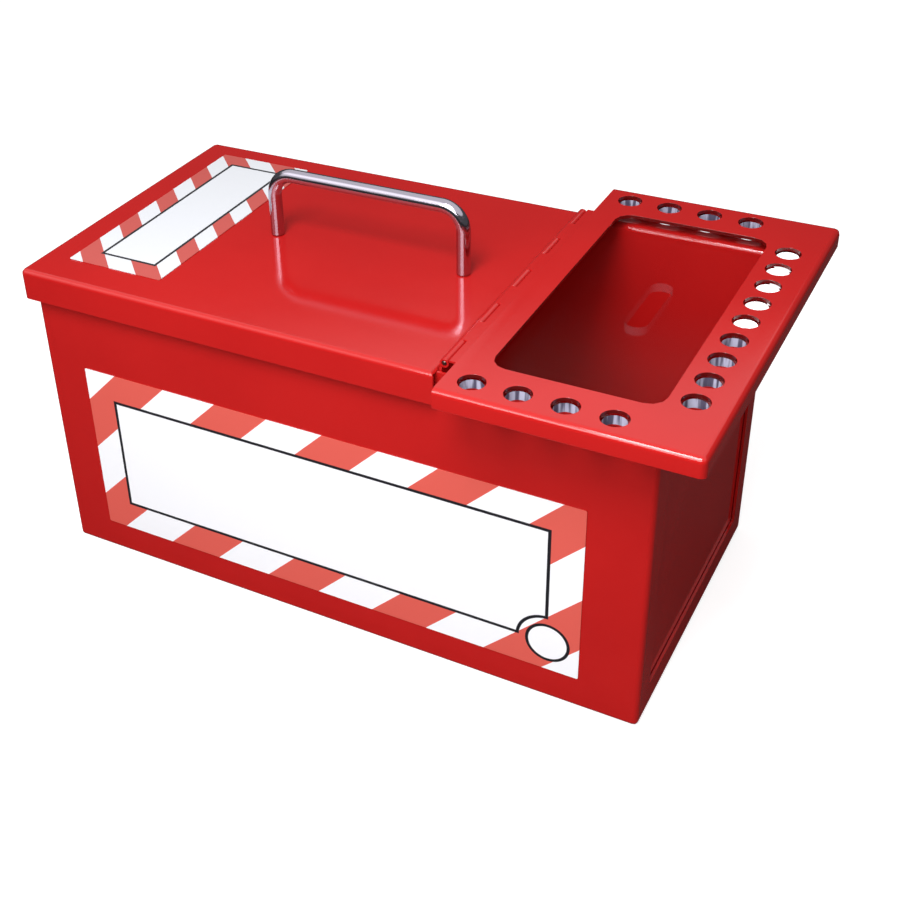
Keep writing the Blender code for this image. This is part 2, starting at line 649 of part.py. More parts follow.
def build_frame(paint, hole_tool, moving):
    """Build the hinged padlock frame: a tray open to the left, with a window and padlock holes."""
    def is_frame_bend(x, y, z):
        """Say whether an edge is bent: round the top's closed sides and down the two right corners."""
        return (z > 0 and x >= 0) or (z == 0 and x > 0)

    outer_radius = FRAME_BEND_INNER_RADIUS + FRAME_SHEET
    skirt_bottom = FRAME_TOP - FRAME_SKIRT
    inner_side = FRAME_SIDE - FRAME_SHEET
    frame = rounded_block("padlock_frame", (FRAME_LEFT, -FRAME_SIDE, skirt_bottom),
                          (FRAME_RIGHT, FRAME_SIDE, FRAME_TOP), outer_radius, is_frame_bend, paint)
    inside = rounded_block("frame_inside",
                           (FRAME_LEFT - CUT_OVERRUN, -inner_side, skirt_bottom - CUT_OVERRUN),
                           (FRAME_RIGHT - FRAME_SHEET, inner_side, FRAME_UNDERSIDE),
                           FRAME_BEND_INNER_RADIUS, is_frame_bend)
    outline = rounded_rectangle((WINDOW_MIDDLE_X, 0), (WINDOW_RIGHT - WINDOW_LEFT, 2 * WINDOW_SIDE),
                                WINDOW_CORNER_RADIUS)
    window = prism("frame_window", outline, "Z", FRAME_UNDERSIDE - CUT_OVERRUN, FRAME_TOP + CUT_OVERRUN)
    cut(frame, inside, window, hole_tool)
    carry(frame, moving)


def build_pane(clear, zinc, moving):
    """Build the clear pane under the frame, and the studs and nuts that carry it."""
    inner_side = FRAME_SIDE - FRAME_SHEET - FRAME_BEND_INNER_RADIUS - PANE_EDGE_CLEARANCE
    left = LEDGE_LEFT
    below, above = PANE_UNDERSIDE - CUT_OVERRUN, PANE_TOP + CUT_OVERRUN
    right = FRAME_RIGHT - FRAME_SHEET - FRAME_BEND_INNER_RADIUS - PANE_EDGE_CLEARANCE
    pane = block("window_pane", (left, -inner_side, PANE_UNDERSIDE), (right, inner_side, PANE_TOP), clear)
    notch_side = HINGE_LENGTH / 2 + PANE_NOTCH_CLEARANCE
    notch = block("pane_hinge_notch", (left - CUT_OVERRUN, -notch_side, below),
                  (HINGE_X + MOVING_LEAF_WIDTH + PANE_NOTCH_CLEARANCE, notch_side, above))
    outline = rounded_rectangle((SLOT_CENTRE_X, 0), (SLOT_WIDTH, SLOT_LENGTH), SLOT_WIDTH / 2 - SEAT_GAP)
    slot = prism("pane_key_slot", outline, "Z", below, above)
    holes = hole_cutter("pane_padlock_holes", PANE_HOLE, below, above)
    places = [(x, y, 0) for x, y in pane_stud_places()]
    stud_holes = rods("pane_stud_holes", STUD_DIAMETER / 2 + STUD_CLEARANCE, RIVET_SIDES, "Z",
                      below, above, places)
    corner_radius = NUT_ACROSS_FLATS / math.sqrt(3)
    recesses = rods("pane_nut_recesses", corner_radius + NUT_CLEARANCE, RIVET_SIDES, "Z",
                    below, PANE_UNDERSIDE + NUT_RECESS, places)
    cut(pane, notch, slot, holes, stud_holes, recesses)
    carry(pane, moving)

    profile = rod_profile(STUD_DIAMETER / 2, PANE_UNDERSIDE + STUD_INSET, FRAME_UNDERSIDE - SEAT_GAP)
    for stud in fasteners("pane_stud", profile, RIVET_SIDES, "Z", places, zinc):
        carry(stud, moving)
    nut_top = PANE_UNDERSIDE + NUT_RECESS - SEAT_GAP
    nut_tool = rods("nut_threads", STUD_DIAMETER / 2 + SEAT_GAP, RIVET_SIDES, "Z",
                    nut_top - NUT_HEIGHT - CUT_OVERRUN, nut_top + CUT_OVERRUN, places)
    for nut in fasteners("pane_nut", rod_profile(corner_radius, nut_top - NUT_HEIGHT, nut_top), NUT_SIDES,
                         "Z", places, zinc):
        cut(nut, nut_tool)
        carry(nut, moving)


def build_labels(film):
    """Build the two self-adhesive labels, as plain rounded sheets."""
    left, right = BODY_LEFT + FRONT_LABEL_FROM_LEFT, BODY_RIGHT - FRONT_LABEL_FROM_RIGHT
    bottom, top = FRONT_LABEL_FROM_BOTTOM, BODY_HEIGHT - FRONT_LABEL_FROM_TOP
    outline = rounded_rectangle(((left + right) / 2, (bottom + top) / 2), (right - left, top - bottom),
                                LABEL_CORNER_RADIUS)
    face = -BODY_SIDE - LABEL_GAP
    prism("front_label", outline, "Y", face - LABEL_THICKNESS, face, film)

    front, back = -COVER_SIDE + COVER_LABEL_FROM_FRONT, COVER_SIDE - COVER_LABEL_FROM_BACK
    centre = (COVER_LABEL_LEFT + COVER_LABEL_WIDTH / 2, (front + back) / 2)
    outline = rounded_rectangle(centre, (COVER_LABEL_WIDTH, back - front), LABEL_CORNER_RADIUS)
    face = BODY_HEIGHT + LABEL_GAP
    prism("cover_label", outline, "Z", face, face + LABEL_THICKNESS, film)


def main():
    """Build the whole box."""
    clear_scene()
    paint = finish("red_powder_coat", (0.55, 0.02, 0.02), 0.32)
    zinc = finish("zinc_plate", (0.62, 0.63, 0.66), 0.35, 1.0)
    steel = finish("satin_steel", (0.60, 0.60, 0.62), 0.28, 1.0)
    clear = finish("clear_plastic", (0.90, 0.93, 0.95), 0.05)
    film = finish("label_film", (0.90, 0.90, 0.92), 0.40)

    hinge_axis = bpy.data.objects.new("frame_hinge_axis", None)
    bpy.context.scene.collection.objects.link(hinge_axis)
    hinge_axis.location = (HINGE_X, 0, HINGE_Z)

    hole_tool = hole_cutter("padlock_holes", PADLOCK_HOLE, BODY_HEIGHT - SHEET - CUT_OVERRUN,
                            FRAME_TOP + CUT_OVERRUN)
    build_body(paint, hole_tool)
    rivet_tool = build_cover(paint)
    build_hinge(paint, zinc, hinge_axis, rivet_tool)
    build_handle(steel, zinc)
    build_frame(paint, hole_tool, hinge_axis)
    build_pane(clear, zinc, hinge_axis)
    build_labels(film)


main()
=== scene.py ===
"""Looks of a portable steel lockout box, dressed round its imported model.

Metres, +Z up, -Y to the front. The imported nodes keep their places. The sheet parts, the pane and the
hinge's leaves are dressed as copies with soft edges. The labels keep their nodes and get a printed
film. The handle and the fasteners are surfaces worked out from the nodes' own boxes.
"""

import logging
import math
from dataclasses import dataclass
from enum import Enum
from typing import Iterable, Optional, Union

import bmesh
import bpy
import numpy as np
from mathutils import Matrix, Vector


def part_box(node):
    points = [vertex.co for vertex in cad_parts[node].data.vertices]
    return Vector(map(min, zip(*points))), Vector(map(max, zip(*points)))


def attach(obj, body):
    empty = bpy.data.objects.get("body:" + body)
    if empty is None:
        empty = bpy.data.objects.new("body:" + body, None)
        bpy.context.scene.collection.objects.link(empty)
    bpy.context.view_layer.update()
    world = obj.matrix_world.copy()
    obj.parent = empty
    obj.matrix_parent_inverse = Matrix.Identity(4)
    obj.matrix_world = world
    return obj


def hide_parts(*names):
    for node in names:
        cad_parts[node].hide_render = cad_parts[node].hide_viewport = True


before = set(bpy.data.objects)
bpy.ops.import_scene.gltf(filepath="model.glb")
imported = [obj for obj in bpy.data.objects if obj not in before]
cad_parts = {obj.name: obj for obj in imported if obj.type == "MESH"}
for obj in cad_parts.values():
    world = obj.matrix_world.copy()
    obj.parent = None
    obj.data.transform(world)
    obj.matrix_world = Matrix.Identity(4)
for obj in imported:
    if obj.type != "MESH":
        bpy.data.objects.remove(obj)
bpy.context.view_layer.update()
LOG = logging.getLogger("lockout_box")
MM = 0.001
Colour = tuple[float, float, float]
MERGE_DISTANCE = 0.001 * MM
NODE_MERGE_DISTANCE = 0.002 * MM
FLAT_ANGLE = math.radians(0.4)
SHARP_ANGLE = math.radians(50)


class Body(Enum):
    """The two bodies that pieces ride on."""

    BOX = "body"
    FRAME = "frame"


class Slot(Enum):
    """The record's material slots."""

    PAINT = "red_powder_coat"
    STEEL = "polished_steel"
    ZINC = "zinc_plate"
    CLEAR = "clear_plastic"
    FILM = "label_film"


class Axis(Enum):
    """An axis of the box, by its place in a point."""

    X = 0
    Y = 1
    Z = 2


class Signal:
    """One output socket, with arithmetic that adds Math nodes behind it."""

    def __init__(self, graph: "Graph", socket: bpy.types.NodeSocket) -> None:
        """Hold a socket and the graph that it belongs to."""
        self.graph = graph
        self.socket = socket

    def _pair(self, operation: str, first: "Number", second: "Number") -> "Signal":
        """Return the result of a Math node on two values."""
        return self.graph.signal("ShaderNodeMath", {"operation": operation}, {0: first, 1: second})

    def __add__(self, other: "Number") -> "Signal":
        """Return self + other."""
        return self._pair("ADD", self, other)

    def __radd__(self, other: "Number") -> "Signal":
        """Return other + self."""
        return self._pair("ADD", other, self)

    def __sub__(self, other: "Number") -> "Signal":
        """Return self - other."""
        return self._pair("SUBTRACT", self, other)

    def __rsub__(self, other: "Number") -> "Signal":
        """Return other - self."""
        return self._pair("SUBTRACT", other, self)

    def __mul__(self, other: "Number") -> "Signal":
        """Return self * other."""
        return self._pair("MULTIPLY", self, other)

    def __rmul__(self, other: "Number") -> "Signal":
        """Return other * self."""
        return self._pair("MULTIPLY", other, self)

    def __truediv__(self, other: "Number") -> "Signal":
        """Return self / other."""
        return self._pair("DIVIDE", self, other)

    def __neg__(self) -> "Signal":
        """Return -self."""
        return self._pair("MULTIPLY", self, -1.0)

    def __abs__(self) -> "Signal":
        """Return the size of self."""
        return self._pair("ABSOLUTE", self, 0.0)

    def largest(self, other: "Number") -> "Signal":
        """Return the larger of self and other."""
        return self._pair("MAXIMUM", self, other)

    def smallest(self, other: "Number") -> "Signal":
        """Return the smaller of self and other."""
        return self._pair("MINIMUM", self, other)

    def power(self, exponent: float) -> "Signal":
        """Return self to a power."""
        return self._pair("POWER", self, exponent)

    def root(self) -> "Signal":
        """Return the square root of self."""
        return self._pair("SQRT", self, 0.0)

    def wrapped(self, length: float) -> "Signal":
        """Return self less the whole lengths in it, from 0 up to the length."""
        return self._pair("FLOORED_MODULO", self, length)

    def ramp(self, low: float, high: float, start: float = 0.0, stop: float = 1.0) -> "Signal":
        """Return a smooth step from start, at low and under, to stop, at high and over."""
        settings = {"interpolation_type": "SMOOTHSTEP"}
        values = {"Value": self, "From Min": low, "From Max": high, "To Min": start, "To Max": stop}
        return self.graph.signal("ShaderNodeMapRange", settings, values)


Number = Union[Signal, float]
Value = Union[Signal, bpy.types.NodeSocket, float, tuple]


class Graph:
    """A node tree under construction."""

    def __init__(self, tree: bpy.types.NodeTree) -> None:
        """Empty a node tree and keep it."""
        self.tree = tree
        tree.nodes.clear()

    def add(self, kind: str, settings: Optional[dict] = None,
            values: Optional[dict] = None) -> bpy.types.Node:
        """Add a node.

        Args:
            kind: the node's type.
            settings: properties set first. "stops" holds a colour ramp's places and colours.
            values: numbers, colours, sockets or signals, by the input's name or number.

        Returns:
            The new node.
        """
        node = self.tree.nodes.new(kind)
        for key, value in (settings or {}).items():
            if key == "stops":
                self._set_stops(node.color_ramp, value)
            else:
                setattr(node, key, value)
        for key, value in (values or {}).items():
            if isinstance(value, Signal):
                self.tree.links.new(value.socket, node.inputs[key])
            elif isinstance(value, bpy.types.NodeSocket):
                self.tree.links.new(value, node.inputs[key])
            else:
                node.inputs[key].default_value = value
        return node

    @staticmethod
    def _set_stops(ramp: bpy.types.ColorRamp, stops: list) -> None:
        """Give a colour ramp its stops, as pairs of a place and a colour."""
        while len(ramp.elements) < len(stops):
            ramp.elements.new(1.0)
        for element, (place, colour) in zip(ramp.elements, stops):
            element.position = place
            element.color = (*colour, 1.0)

    def signal(self, kind: str, settings: Optional[dict] = None, values: Optional[dict] = None,
               output: Union[int, str] = 0) -> Signal:
        """Add a node and return one of its outputs as a signal."""
        return Signal(self, self.add(kind, settings, values).outputs[output])

    def place(self) -> tuple[Signal, Signal, Signal]:
        """Return the X, Y and Z of the shaded point, in metres."""
        coordinate = self.signal("ShaderNodeTexCoord", output="Object")
        split = self.add("ShaderNodeSeparateXYZ", values={0: coordinate})
        return tuple(Signal(self, output) for output in split.outputs)

    def ray(self, kind: str) -> Signal:
        """Return 1 for rays of a kind, such as Camera, and 0 for all others."""
        return self.signal("ShaderNodeLightPath", output=f"Is {kind} Ray")

    def noise(self, scale: float, detail: float = 2.0, stretch: tuple = (1.0, 1.0, 1.0)) -> Signal:
        """Return fractal noise between about 0 and 1.

        Args:
            scale: cells in a metre.
            detail: octaves.
            stretch: how much finer the noise is along each axis.
        """
        coordinate = self.signal("ShaderNodeTexCoord", output="Object")
        mapped = self.signal("ShaderNodeMapping", values={"Vector": coordinate, "Scale": stretch})
        return self.signal("ShaderNodeTexNoise", values={"Vector": mapped, "Scale": scale, "Detail": detail})

    def mix(self, factor: Number, first: Value, second: Value) -> Signal:
        """Return a blend of two colours, first at 0 and second at 1."""
        first, second = ((*c, 1.0) if isinstance(c, tuple) else c for c in (first, second))
        return self.signal("ShaderNodeMix", {"data_type": "RGBA"}, {0: factor, 6: first, 7: second}, 2)

    def either(self, factor: Number, first: Number, second: Number) -> Signal:
        """Return a blend of two numbers, first at 0 and second at 1."""
        return self.signal("ShaderNodeMix", {"data_type": "FLOAT"}, {0: factor, 2: first, 3: second})

    def bump(self, height: Signal, distance: float, strength: float = 1.0) -> Signal:
        """Return a normal bent by a height."""
        values = {"Height": height, "Distance": distance, "Strength": strength}
        return self.signal("ShaderNodeBump", values=values)


def new_material(name: str) -> tuple[bpy.types.Material, Graph]:
    """Return an empty node material and its graph."""
    material = bpy.data.materials.new(name)
    material.use_nodes = True
    return material, Graph(material.node_tree)


def surface(graph: Graph, values: dict) -> bpy.types.Node:
    """Add a Principled shader with these values and send it to the material's output."""
    shader = graph.add("ShaderNodeBsdfPrincipled", values=values)
    graph.add("ShaderNodeOutputMaterial", values={"Surface": shader.outputs[0]})
    return shader


@dataclass(frozen=True)
class PowderCoat:
    """Glossy powder coat with a fine orange peel."""

    name: str = "powder_coat"
    colour: Colour = (0.480, 0.0108, 0.0100)
    deep_colour: Colour = (0.450, 0.0092, 0.0088)
    # Inside the box the coat is painted darker, as painted shade, and given a red glow, as painted light
    # thrown between the walls.
    painted_inside_shade: Colour = (0.170, 0.0040, 0.0038)
    painted_bounce_glow: Colour = (0.175, 0.0030, 0.0026)
    inside_low: Optional[Vector] = None
    inside_high: Optional[Vector] = None
    roughness: float = 0.065
    dulling: float = 0.04
    cloud_scale: float = 14.0
    peel_scales: tuple[float, float] = (420.0, 1500.0)
    broad_peel: float = 0.6
    peel_height: float = 0.012 * MM
    softness: float = 0.2 * MM

    def _inside(self, graph: Graph) -> Signal:
        """Return 1 within the inside's box and 0 outside it."""
        mask = None
        for place, low, high in zip(graph.place(), self.inside_low, self.inside_high):
            half = (high - low) / 2
            span = abs(place - (low + high) / 2).ramp(half - self.softness, half + self.softness, 1.0, 0.0)
            mask = span if mask is None else mask * span
        return mask

    def material(self) -> bpy.types.Material:
        """Return the coat's material."""
        material, graph = new_material(self.name)
        cloud = graph.noise(self.cloud_scale, 3.0)
        broad, fine = (graph.noise(scale, 1.0) for scale in self.peel_scales)
        peel = self.broad_peel * broad + fine
        values = {
            "Base Color": graph.mix(cloud.ramp(0.3, 0.7), self.deep_colour, self.colour),
            "Roughness": self.roughness + self.dulling * graph.noise(60.0, 2.0), "IOR": 1.5,
            "Normal": graph.bump(self.peel_height * peel, 1.0),
        }
        if self.inside_low:
            # Painted shade and painted bounced light inside the box.
            inside = self._inside(graph)
            values["Base Color"] = graph.mix(inside, values["Base Color"], self.painted_inside_shade)
            values["Emission Color"] = graph.mix(inside, (0.0, 0.0, 0.0), self.painted_bounce_glow)
            values["Emission Strength"] = 1.0
        surface(graph, values)
        return material


@dataclass(frozen=True)
class PolishedBar:
    """Polished stainless bar with faint lengthwise polishing lines."""

    name: str = "polished_bar"
    colour: Colour = (0.50, 0.465, 0.55)
    roughness: float = 0.10
    line_scale: float = 1400.0
    line_stretch: tuple[float, float, float] = (0.04, 1.0, 1.0)
    line_dulling: float = 0.10
    line_height: float = 0.006 * MM

    def material(self) -> bpy.types.Material:
        """Return the bar's material."""
        material, graph = new_material(self.name)
        lines = graph.noise(self.line_scale, 2.0, self.line_stretch)
        surface(graph, {
            "Base Color": (*self.colour, 1.0), "Metallic": 1.0,
            "Roughness": self.roughness + self.line_dulling * lines.ramp(0.4, 0.7),
            "Normal": graph.bump(lines, self.line_height),
        })
        return material


@dataclass(frozen=True)
class ZincPlate:
    """Bright zinc with a cloudy, slightly yellow passivation."""

    name: str = "zinc_plate"
    colour: Colour = (0.60, 0.61, 0.64)
    tarnish: Colour = (0.52, 0.50, 0.42)
    cloud_scale: float = 350.0
    roughness: float = 0.28
    cloud_dulling: float = 0.2
    grain_scale: float = 2500.0
    grain_height: float = 0.004 * MM

    def material(self) -> bpy.types.Material:
        """Return the plating's material."""
        material, graph = new_material(self.name)
        cloud = graph.noise(self.cloud_scale, 3.0)
        surface(graph, {
            "Base Color": graph.mix(cloud.ramp(0.45, 0.75), self.colour, self.tarnish),
            "Metallic": 1.0, "Roughness": self.roughness + self.cloud_dulling * cloud,
            "Normal": graph.bump(graph.noise(self.grain_scale), self.grain_height),
        })
        return material


@dataclass(frozen=True)
class ClearSheet:
    """Clear acrylic seen face on: see-through, with a mirror's gloss at a slant."""

    name: str = "clear_sheet"
    tint: Colour = (0.96, 0.95, 0.96)
    gloss: Colour = (0.92, 0.93, 0.95)
    least_gloss: float = 0.003
    slant_gloss: float = 0.14

    def material(self) -> bpy.types.Material:
        """Return the sheet's material."""
        material, graph = new_material(self.name)
        mirror = graph.add("ShaderNodeBsdfPrincipled", values={
            "Base Color": (*self.gloss, 1.0), "Metallic": 1.0, "Roughness": 0.03,
        })
        through = graph.add("ShaderNodeBsdfTransparent", values={"Color": (*self.tint, 1.0)})
        slant = graph.signal("ShaderNodeLayerWeight", values={"Blend": 0.5}, output="Facing")
        share = self.least_gloss + self.slant_gloss * slant.power(5.0)
        blend = graph.add("ShaderNodeMixShader", values={
            0: share, 1: through.outputs[0], 2: mirror.outputs[0],
        })
        graph.add("ShaderNodeOutputMaterial", values={"Surface": blend.outputs[0]})
        return material


@dataclass(frozen=True)
class BoredEdge:
    """The bored walls of the pane's holes: frosted from inside a hole, clear from within the sheet.

    The walls of the holes behind the middle of the end row are painted white and given a glow: a painted
    backlight.
    """

    name: str = "bored_edge"
    pale: Colour = (0.46, 0.46, 0.60)
    dark: Colour = (0.09, 0.08, 0.13)
    painted_backlight: Colour = (0.96, 0.96, 0.97)
    lit_from: tuple[float, float] = (176.0 * MM, -8.0 * MM)
    softness: float = 1.0 * MM
    glow: float = 0.55
    mark_scale: float = 300.0
    mark_stretch: tuple[float, float, float] = (1.0, 1.0, 0.10)
    mark_height: float = 0.05 * MM

    def material(self) -> bpy.types.Material:
        """Return the edge's material."""
        material, graph = new_material(self.name)
        marks = graph.noise(self.mark_scale, 2.0, self.mark_stretch)
        along, across, _ = graph.place()
        # Painted backlight: a white, glowing patch on the walls of these holes.
        painted_backlight = (along.ramp(self.lit_from[0] - self.softness, self.lit_from[0] + self.softness)
               * across.ramp(self.lit_from[1] - self.softness, self.lit_from[1] + self.softness))
        frosted = graph.mix(marks.ramp(0.42, 0.56), self.dark, self.pale)
        wall = graph.add("ShaderNodeBsdfPrincipled", values={
            "Base Color": graph.mix(painted_backlight, frosted, self.painted_backlight), "Roughness": 0.22 + 0.2 * marks, "IOR": 1.49,
            "Emission Color": graph.mix(painted_backlight, (0.0, 0.0, 0.0), self.painted_backlight), "Emission Strength": self.glow,
            "Normal": graph.bump(marks, self.mark_height),
        })
        clear = graph.add("ShaderNodeBsdfTransparent", values={"Color": (0.94, 0.93, 0.94, 1.0)})
        within = graph.signal("ShaderNodeNewGeometry", output="Backfacing")
        blend = graph.add("ShaderNodeMixShader", values={0: within, 1: wall.outputs[0], 2: clear.outputs[0]})
        graph.add("ShaderNodeOutputMaterial", values={"Surface": blend.outputs[0]})
        return material


@dataclass(frozen=True)
class PolishedEdge:
    """The polished walls of the key slot and the pane's rim: nearly clear, with a faint pale haze."""

    name: str = "polished_edge"
    haze: Colour = (0.62, 0.52, 0.58)
    haze_share: float = 0.05

    def material(self) -> bpy.types.Material:
        """Return the edge's material."""
        material, graph = new_material(self.name)
        wall = graph.add("ShaderNodeBsdfPrincipled", values={
            "Base Color": (*self.haze, 1.0), "Roughness": 0.15,
        })
        clear = graph.add("ShaderNodeBsdfTransparent", values={"Color": (0.95, 0.93, 0.94, 1.0)})
        blend = graph.add("ShaderNodeMixShader", values={
            0: self.haze_share, 1: clear.outputs[0], 2: wall.outputs[0],
        })
        graph.add("ShaderNodeOutputMaterial", values={"Surface": blend.outputs[0]})
        return material


@dataclass(frozen=True)
class StripedFilm:
    """Printed film: slanting red and white stripes round a blank white panel with a black key line.

    Places are in metres on the label's own plane, whose first and second axes are named.
    """

    name: str
    first: Axis
    second: Axis
    panel_low: tuple[float, float]
    panel_high: tuple[float, float]
    key_line: float
    stripe_pitch: float
    stripe_width: float
    stripe_start: float
    lean: float
    seal_radius: float = 0.0
    seal_line: float = 1.8 * MM
    seal_gap: float = 3.6 * MM
    red: Colour = (0.70, 0.105, 0.080)
    white: Colour = (0.93, 0.945, 0.98)
    black: Colour = (0.012, 0.012, 0.016)
    softness: float = 0.12 * MM
    roughness: float = 0.30
    fibre_scale: float = 900.0
    fibre_dulling: float = 0.1
    fibre_height: float = 0.002 * MM

    def _inside(self, distance: Signal) -> Signal:
        """Return 1 where a signed distance is negative and 0 where it is positive."""
        return distance.ramp(-self.softness, self.softness, 1.0, 0.0)

    def material(self) -> bpy.types.Material:
        """Return the film's material.

        The stripes are bands of first + lean * second. The panel is where the larger of the distances
        to its sides is negative, less a round bite about its lower far corner for the blank seal.
        """
        material, graph = new_material(self.name)
        along, across = (graph.place()[axis.value] for axis in (self.first, self.second))
        place = (along + self.lean * across - self.stripe_start).wrapped(self.stripe_pitch)
        stripe = place.ramp(self.stripe_width - self.softness, self.stripe_width + self.softness, 1.0, 0.0)
        stripe = stripe * place.ramp(0.0, self.softness)
        low, high = self.panel_low, self.panel_high
        panel = (abs(along - (low[0] + high[0]) / 2) - (high[0] - low[0]) / 2).largest(
            abs(across - (low[1] + high[1]) / 2) - (high[1] - low[1]) / 2)
        colour = graph.mix(stripe, self.white, self.red)
        if self.seal_radius:
            across_seal, along_seal = across - low[1], along - high[0]
            reach = (along_seal * along_seal + across_seal * across_seal).root()
            panel = panel.largest(self.seal_radius + self.seal_gap - reach)
        colour = graph.mix(self._inside(panel), colour, self.black)
        colour = graph.mix(self._inside(panel + self.key_line), colour, self.white)
        if self.seal_radius:
            colour = graph.mix(self._inside(reach - self.seal_radius), colour, self.black)
            colour = graph.mix(self._inside(reach - (self.seal_radius - self.seal_line)), colour, self.white)
        fibre = graph.noise(self.fibre_scale, 2.0)
        surface(graph, {
            "Base Color": colour, "Roughness": self.roughness + self.fibre_dulling * fibre, "IOR": 1.45,
            "Normal": graph.bump(fibre, self.fibre_height),
        })
        return material


def grid_faces(rows: int, columns: int, wrap: bool) -> np.ndarray:
    """Return the quads of a grid of rows x columns points, whose columns close on themselves if wrap."""
    spans = columns if wrap else columns - 1
    row, column = np.meshgrid(np.arange(rows - 1), np.arange(spans), indexing="ij")
    after = (column + 1) % columns
    corners = (row * columns + column, row * columns + after,
               (row + 1) * columns + after, (row + 1) * columns + column)
    return np.stack(corners, axis=-1).reshape(-1, 4)


def mesh_object(name: str, points: np.ndarray, faces: Iterable, material: bpy.types.Material,
                smooth_angle: float = 40.0) -> bpy.types.Object:
    """Return an object at the origin with these points and faces, with doubles merged and faces outwards."""
    mesh = bpy.data.meshes.new(name)
    mesh.from_pydata(points.reshape(-1, 3).tolist(), [], [list(map(int, face)) for face in faces])
    builder = bmesh.new()
    builder.from_mesh(mesh)
    bmesh.ops.remove_doubles(builder, verts=builder.verts, dist=MERGE_DISTANCE)
    bmesh.ops.recalc_face_normals(builder, faces=builder.faces)
    builder.to_mesh(mesh)
    builder.free()
    mesh.shade_smooth()
    mesh.set_sharp_from_angle(angle=math.radians(smooth_angle))
    mesh.materials.append(material)
    result = bpy.data.objects.new(name, mesh)
    bpy.context.scene.collection.objects.link(result)
    return result


def arc(centre: tuple[float, float], radius: float, start: float, stop: float, steps: int) -> np.ndarray:
    """Return points on an arc, centre + radius * (cos, sin), from start to stop in degrees."""
    angle = np.radians(np.linspace(start, stop, steps + 1))
    return np.stack([centre[0] + radius * np.cos(angle), centre[1] + radius * np.sin(angle)], axis=1)


def turned(profile: Iterable[tuple[float, float]], place: Iterable[float], axis: Axis,
           sides: int) -> np.ndarray:
    """Return the grid of a profile turned round an axis.

    The point at height h, radius r and angle t is place + h * axis + r * (cos t * side + sin t * up),
    with side and up the two other axes.

    Args:
        profile: heights along the axis and radii, from pole to pole.
        place: the point that heights are measured from.
        axis: the axis turned about.
        sides: points in a turn.
    """
    height, radius = np.array(list(profile)).T[:, :, None]
    angle = np.linspace(0.0, 2 * math.pi, sides, endpoint=False)[None, :]
    grid = np.zeros((height.shape[0], sides, 3))
    grid[..., axis.value] = height
    grid[..., (axis.value + 1) % 3] = radius * np.cos(angle)
    grid[..., (axis.value + 2) % 3] = radius * np.sin(angle)
    return grid + np.array(list(place))


def turned_object(name: str, profile: Iterable[tuple[float, float]], place: Iterable[float], axis: Axis,
                  material: bpy.types.Material, sides: int = 32) -> bpy.types.Object:
    """Return one turned piece."""
    grid = turned(profile, place, axis, sides)
    return mesh_object(name, grid, grid_faces(grid.shape[0], sides, True), material, smooth_angle=35.0)


def seat(piece: bpy.types.Object, body: Body, slot: Slot, *nodes: str) -> bpy.types.Object:
    """Make a piece ride on its body and hide the nodes that it stands for."""
    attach(piece, body.value)
    if nodes:
        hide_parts(*nodes)
    LOG.info("%s rides on %s", piece.name, body.value)
    return piece


def face_frames(mesh: bpy.types.Mesh) -> tuple[np.ndarray, np.ndarray]:
    """Return the middle and the normal of each face of a mesh, a row a face."""
    centre, normal = (np.empty(len(mesh.polygons) * 3) for _ in range(2))
    mesh.polygons.foreach_get("center", centre)
    mesh.polygons.foreach_get("normal", normal)
    return centre.reshape(-1, 3), normal.reshape(-1, 3)


def softened(node: str, name: str, material: bpy.types.Material, edge: float) -> bpy.types.Object:
    """Return a merged copy of a node whose sharp edges are rounded a little.

    Args:
        node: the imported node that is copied.
        name: the copy's name.
        material: its finish.
        edge: the radius of the rounded edges, in metres.
    """
    builder = bmesh.new()
    builder.from_mesh(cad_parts[node].data)
    bmesh.ops.remove_doubles(builder, verts=builder.verts, dist=NODE_MERGE_DISTANCE)
    bmesh.ops.dissolve_limit(builder, angle_limit=FLAT_ANGLE, verts=builder.verts, edges=builder.edges)
    mesh = bpy.data.meshes.new(name)
    builder.to_mesh(mesh)
    builder.free()
    mesh.materials.clear()
    mesh.materials.append(material)
    mesh.shade_smooth()
    mesh.set_sharp_from_angle(angle=SHARP_ANGLE)
    result = bpy.data.objects.new(name, mesh)
    bpy.context.scene.collection.objects.link(result)
    bevel = result.modifiers.new("soft_edges", "BEVEL")
    bevel.width = edge
    bevel.segments = 2
    bevel.limit_method = "ANGLE"
    bevel.angle_limit = SHARP_ANGLE
    bevel.use_clamp_overlap = True
    bevel.miter_outer = "MITER_ARC"
    normals = result.modifiers.new("flat_faces", "WEIGHTED_NORMAL")
    normals.keep_sharp = True
    normals.weight = 100
    return result


@dataclass
class Enclosure:
    """The wrapper, its end plates, the fixed cover and the cover's stiffener."""

    edge: float = 0.22 * MM
    half_sheet: float = 0.75 * MM
    plate_depth: float = 2.55 * MM

    def coat(self) -> PowderCoat:
        """Return a coat painted darker inside the box, as painted shade, with a faint red glow there, as
        painted light thrown between its walls.

        The inside ends in the middle of the floor's and the cover's sheet. Across Y it ends half a sheet
        past the end plate.
        """
        wrapper, cover, plate = (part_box(node) for node in ("body_wrapper", "fixed_cover", "left_end_plate"))
        low = Vector((wrapper[0].x + self.plate_depth, plate[0].y - self.half_sheet,
                      wrapper[0].z + self.half_sheet))
        high = Vector((wrapper[1].x - self.plate_depth, plate[1].y + self.half_sheet,
                       cover[1].z - self.half_sheet))
        return PowderCoat(name="enclosure_coat", inside_low=low, inside_high=high)

    def build(self) -> None:
        """Dress the sheet parts of the box."""
        paint = self.coat().material()
        for node in ("body_wrapper", "left_end_plate", "right_end_plate", "fixed_cover", "cover_stiffener"):
            seat(softened(node, node + "_coated", paint, self.edge), Body.BOX, Slot.PAINT, node)


